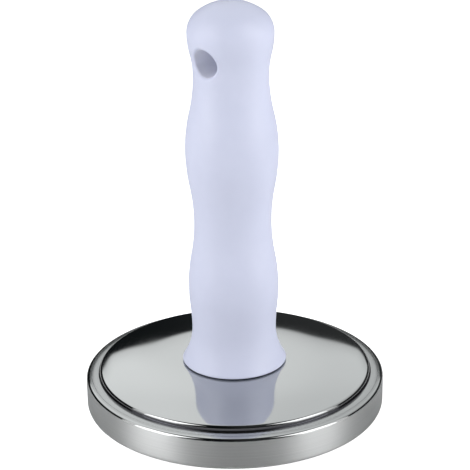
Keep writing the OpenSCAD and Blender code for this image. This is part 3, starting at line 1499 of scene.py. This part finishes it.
@dataclass(frozen=True)
class Softbox:
    """A rectangular light that faces the object.

    Attributes:
        name: Name of the light.
        turn: Degrees round from the camera, positive to its right.
        width: Width in metres.
        watts: Power.
        lift: Degrees above the floor.
        height: Height in metres.
        mirrored: Whether polished faces show it.
        away: Distance from the object in metres.
    """

    name: str
    turn: float
    width: float
    watts: float
    lift: float = 28.0
    height: float = 0.95
    mirrored: bool = True
    away: float = 0.9


@dataclass(frozen=True)
class Room:
    """The room around the object: light behind and above it, dark low down and on the camera's side.

    A reach is how far a unit direction goes backwards, to the right or upwards.

    Attributes:
        horizon: Degrees above the floor at which the room turns from dark to light.
        soft: Degrees over which it turns, to each side.
        lean: How much higher that edge lies on the left than on the right, half each way.
        lean_reach: Reach to each side over which it leans.
        bends: Bends of that edge to either side: the reaches where each starts and ends, and its rise.
        back_reach: Backward reaches at which the light starts and is full.
        side_reach: Reach to each side over which the left's colours give way to the right's.
        low: Share of the light right at the edge.
        low_h: Upward reach above the edge at which the light is full.
        high: Share of the light overhead.
        high_reach: Upward reaches between which it falls to that.
        far: Share of the light at the far right.
        far_reach: Rightward reaches between which it falls to that.
        darks: Colours of the dark on the left and on the right.
        lights: Colours of the light on the left and on the right.
        bounce: Strength with which it lights matt faces.
    """

    horizon: float = 20.8
    soft: float = 0.7
    lean: float = 0.011
    lean_reach: float = 0.06
    bends: tuple[tuple[float, float, float], ...] = (
        (0.075, 0.18, -0.03),
        (0.19, 0.235, 0.07),
        (0.235, 1.0, 0.23),
    )
    back_reach: tuple[float, float] = (0.05, 0.25)
    side_reach: float = 0.15
    low: float = 0.77
    low_h: float = 0.1
    high: float = 0.93
    high_reach: tuple[float, float] = (0.47, 0.62)
    far: float = 0.75
    far_reach: tuple[float, float] = (0.2, 0.5)
    darks: tuple[Color, Color] = ((0.008, 0.010, 0.011), (0.036, 0.038, 0.039))
    lights: tuple[Color, Color] = ((1.20, 1.22, 1.22), (0.98, 1.00, 1.00))
    bounce: float = 1.05

    def edge(self, sheet: Sheet, aside: bpy.types.NodeSocket) -> bpy.types.NodeSocket:
        """Rise of the light's lower edge over the horizon: its lean and the sum of its bends.

        Args:
            sheet: The room's nodes.
            aside: Reach to the right.

        Returns:
            The rise.
        """
        rise = sheet.remap(aside, (-self.lean_reach, self.lean_reach), (self.lean, -self.lean))
        sideways = sheet.math("ABSOLUTE", aside)
        for start, end, bend in self.bends:
            rise = sheet.math("ADD", rise, sheet.remap(sideways, (start, end), (0.0, bend)))
        return rise

    def build(self, back: Floats, right: Floats) -> None:
        """Lights the room. The shares of the light that each reach lets through are multiplied.

        Args:
            back: Unit direction away from the camera, along the floor.
            right: Unit direction to the camera's right, along the floor.
        """
        world = bpy.data.worlds.new("studio_room")
        world.use_nodes = True
        bpy.context.scene.world = world
        sheet = Sheet(world.node_tree)
        way = sheet.place("ShaderNodeTexCoord").outputs["Generated"]
        aside = sheet.along(way, right)
        upward = sheet.split(way).outputs["Z"]
        level = sheet.math("SUBTRACT", upward, self.edge(sheet, aside))
        dark_end = math.sin(math.radians(self.horizon - self.soft))
        light_end = math.sin(math.radians(self.horizon + self.soft))
        lit = sheet.remap(level, (dark_end, light_end))
        for share in (
            sheet.remap(level, (dark_end, dark_end + self.low_h), (self.low, 1.0)),
            sheet.remap(upward, self.high_reach, (1.0, self.high)),
            sheet.remap(aside, self.far_reach, (1.0, self.far)),
            sheet.remap(sheet.along(way, back), self.back_reach),
        ):
            lit = sheet.math("MULTIPLY", lit, share)
        side = sheet.remap(aside, (-self.side_reach, self.side_reach))
        shade = sheet.mix(lit, sheet.mix(side, *self.darks), sheet.mix(side, *self.lights))
        rays = sheet.place("ShaderNodeLightPath").outputs
        glow = sheet.place("ShaderNodeBackground")
        sheet.feed(glow.inputs["Color"], sheet.mix(rays["Is Camera Ray"], shade, WHITE))
        sheet.feed(glow.inputs["Strength"], sheet.remap(rays["Is Diffuse Ray"], UNIT, (1.0, self.bounce)))
        sheet.feed(sheet.place("ShaderNodeOutputWorld").inputs["Surface"], glow.outputs[0])


@dataclass(frozen=True)
class Floor:
    """The pale floor just under the pounding face, which the camera sees as plain white.

    Attributes:
        gap: Gap under the pounding face in millimetres.
        rings: Radii of its rings in millimetres, from the outside in.
        columns: Places around the axis.
        dark: Colour of the darker patches.
        light: Colour of the paler patches.
        patches: Patches per metre.
        roughness: Its roughness.
    """

    gap: float = 0.05
    rings: tuple[float, ...] = (9000.0, 2000.0, 500.0, 100.0)
    columns: int = 96
    dark: Color = (0.66, 0.66, 0.66)
    light: Color = (0.69, 0.69, 0.69)
    patches: float = 6.0
    roughness: float = 0.8

    def surface(self) -> Surface:
        """Level rings with a fan of triangles inside the smallest."""
        level = np.column_stack([self.rings, np.full(len(self.rings), -self.gap)])
        points = np.vstack([ring_points(level, self.columns), [[0.0, 0.0, -self.gap]]])
        here = np.arange(self.columns)
        there = (here + 1) % self.columns
        last = (len(level) - 1) * self.columns
        fan = np.column_stack([np.full(self.columns, len(points) - 1), last + here, last + there])
        return Surface(points, ring_quads(len(level), self.columns).reshape(-1, 4), fan)

    def build(self) -> None:
        """Lays the floor, which is no piece of the object."""
        piece = self.surface().to_object("floor")
        material, sheet, shader = new_material("pale_floor")
        cloud = sheet.noise(sheet.object_place(), self.patches, detail=2.0)
        sheet.feed(shader.inputs["Base Color"], sheet.mix(cloud, self.dark, self.light))
        shader.inputs["Roughness"].default_value = self.roughness
        sheet.feed(shader.inputs["Emission Color"], WHITE)
        rays = sheet.place("ShaderNodeLightPath").outputs
        sheet.feed(shader.inputs["Emission Strength"], rays["Is Camera Ray"])
        piece.data.materials.append(material)


@dataclass
class Studio:
    """The floor, the room, the soft lights and the camera.

    Attributes:
        facing: Degrees from -Y round to the camera.
        lift: Camera's height angle in degrees.
        roll: Camera's roll in degrees.
        away: Distance from the target in millimetres.
        aim_right: Target's offset to the camera's right in millimetres.
        aim_z: Target's height in millimetres.
        focal_px: Focal length in pixels of the image.
        image_px: Width of the image in pixels.
        sensor: Width of the sensor in millimetres.
        sight: How far the camera sees, in metres.
        boxes: The softboxes.
    """

    facing: float = 42.7
    lift: float = 21.45
    roll: float = -0.7
    away: float = 610.75
    aim_right: float = 0.72
    aim_z: float = 65.7
    focal_px: float = 1700.0
    image_px: float = 470.0
    sensor: float = 36.0
    sight: float = 100.0
    boxes: tuple[Softbox, ...] = (
        Softbox("softbox_left", turn=-64.0, width=0.84, watts=2.6),
        Softbox("softbox_left_middle", turn=-61.0, width=0.5, watts=2.6),
        Softbox("softbox_right", turn=65.0, width=0.82, watts=2.45),
        Softbox("softbox_right_middle", turn=62.0, width=0.5, watts=2.2),
        Softbox("fill_left", turn=-78.0, width=0.6, watts=1.5, lift=10.0, height=0.6, mirrored=False),
        Softbox("fill_right", turn=80.0, width=0.6, watts=2.6, lift=10.0, height=0.6, mirrored=False),
        Softbox("fill", turn=0.0, width=0.8, watts=0.65, lift=12.0, height=0.45, mirrored=False),
    )

    def heading(self, turn: float, lift: float) -> Floats:
        """Unit direction from the object, counted round from the camera.

        Args:
            turn: Degrees round from the camera, positive to its right.
            lift: Degrees above the floor.

        Returns:
            The direction.
        """
        a, e = math.radians(self.facing + turn), math.radians(lift)
        return np.array([math.sin(a) * math.cos(e), -math.cos(a) * math.cos(e), math.sin(e)])

    @staticmethod
    def look(place: Floats, back: Floats, right: Floats) -> Matrix:
        """A camera's or light's matrix.

        Args:
            place: Where it stands, in metres.
            back: Unit direction away from what it faces.
            right: Unit direction to its right.

        Returns:
            The matrix.
        """
        turn = np.eye(4)
        turn[:3, :] = np.column_stack([right, np.cross(back, right), back, place])
        return Matrix(turn.tolist())

    def camera(self) -> None:
        """Sets up the camera as a pinhole with the image's focal length."""
        back = self.heading(0.0, self.lift)
        level = self.heading(90.0, 0.0)
        up = np.cross(back, level)
        roll = math.radians(self.roll)
        right = math.cos(roll) * level + math.sin(roll) * up
        target = self.aim_right * level + np.array([0.0, 0.0, self.aim_z])
        data = bpy.data.cameras.new("camera")
        data.sensor_width = self.sensor
        data.lens = self.focal_px * self.sensor / self.image_px
        data.clip_end = self.sight
        made = bpy.data.objects.new("camera", data)
        made.matrix_world = self.look((target + self.away * back) * MM, back, right)
        bpy.context.scene.collection.objects.link(made)
        bpy.context.scene.camera = made

    def lights(self) -> None:
        """Hangs the softboxes, out of the camera's own sight."""
        for box in self.boxes:
            back = self.heading(box.turn, box.lift)
            data = bpy.data.lights.new(box.name, "AREA")
            data.shape = "RECTANGLE"
            data.size, data.size_y = box.width, box.height
            data.energy = box.watts
            made = bpy.data.objects.new(box.name, data)
            made.matrix_world = self.look(back * box.away, back, self.heading(box.turn + 90.0, 0.0))
            made.visible_camera = False
            made.visible_glossy = box.mirrored
            bpy.context.scene.collection.objects.link(made)

    def build(self) -> None:
        """Sets up the whole studio."""
        bpy.context.scene.view_settings.view_transform = "Standard"
        Floor().build()
        Room().build(back=self.heading(180.0, 0.0), right=self.heading(90.0, 0.0))
        self.lights()
        self.camera()
        LOG.info("studio: %d softboxes", len(self.boxes))


def corners(box: tuple) -> list[list[float]]:
    """The two corners of a box as plain lists of numbers."""
    return [[float(x) for x in corner] for corner in box]


def main() -> None:
    """Builds the pieces from the pounding face upwards, then the studio."""
    logging.basicConfig(level=logging.INFO, format="%(name)s: %(message)s")
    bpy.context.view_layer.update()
    effects = Effects()
    pan = StrikePan()
    cover = TopCover(pan)
    seal = FootSeal(cover)
    grip = Grip(seal.top_z)
    for part in (pan, cover, seal, grip, InnerWorks()):
        part.build(effects)
    Studio().build()


if __name__ == "__main__":
    main()
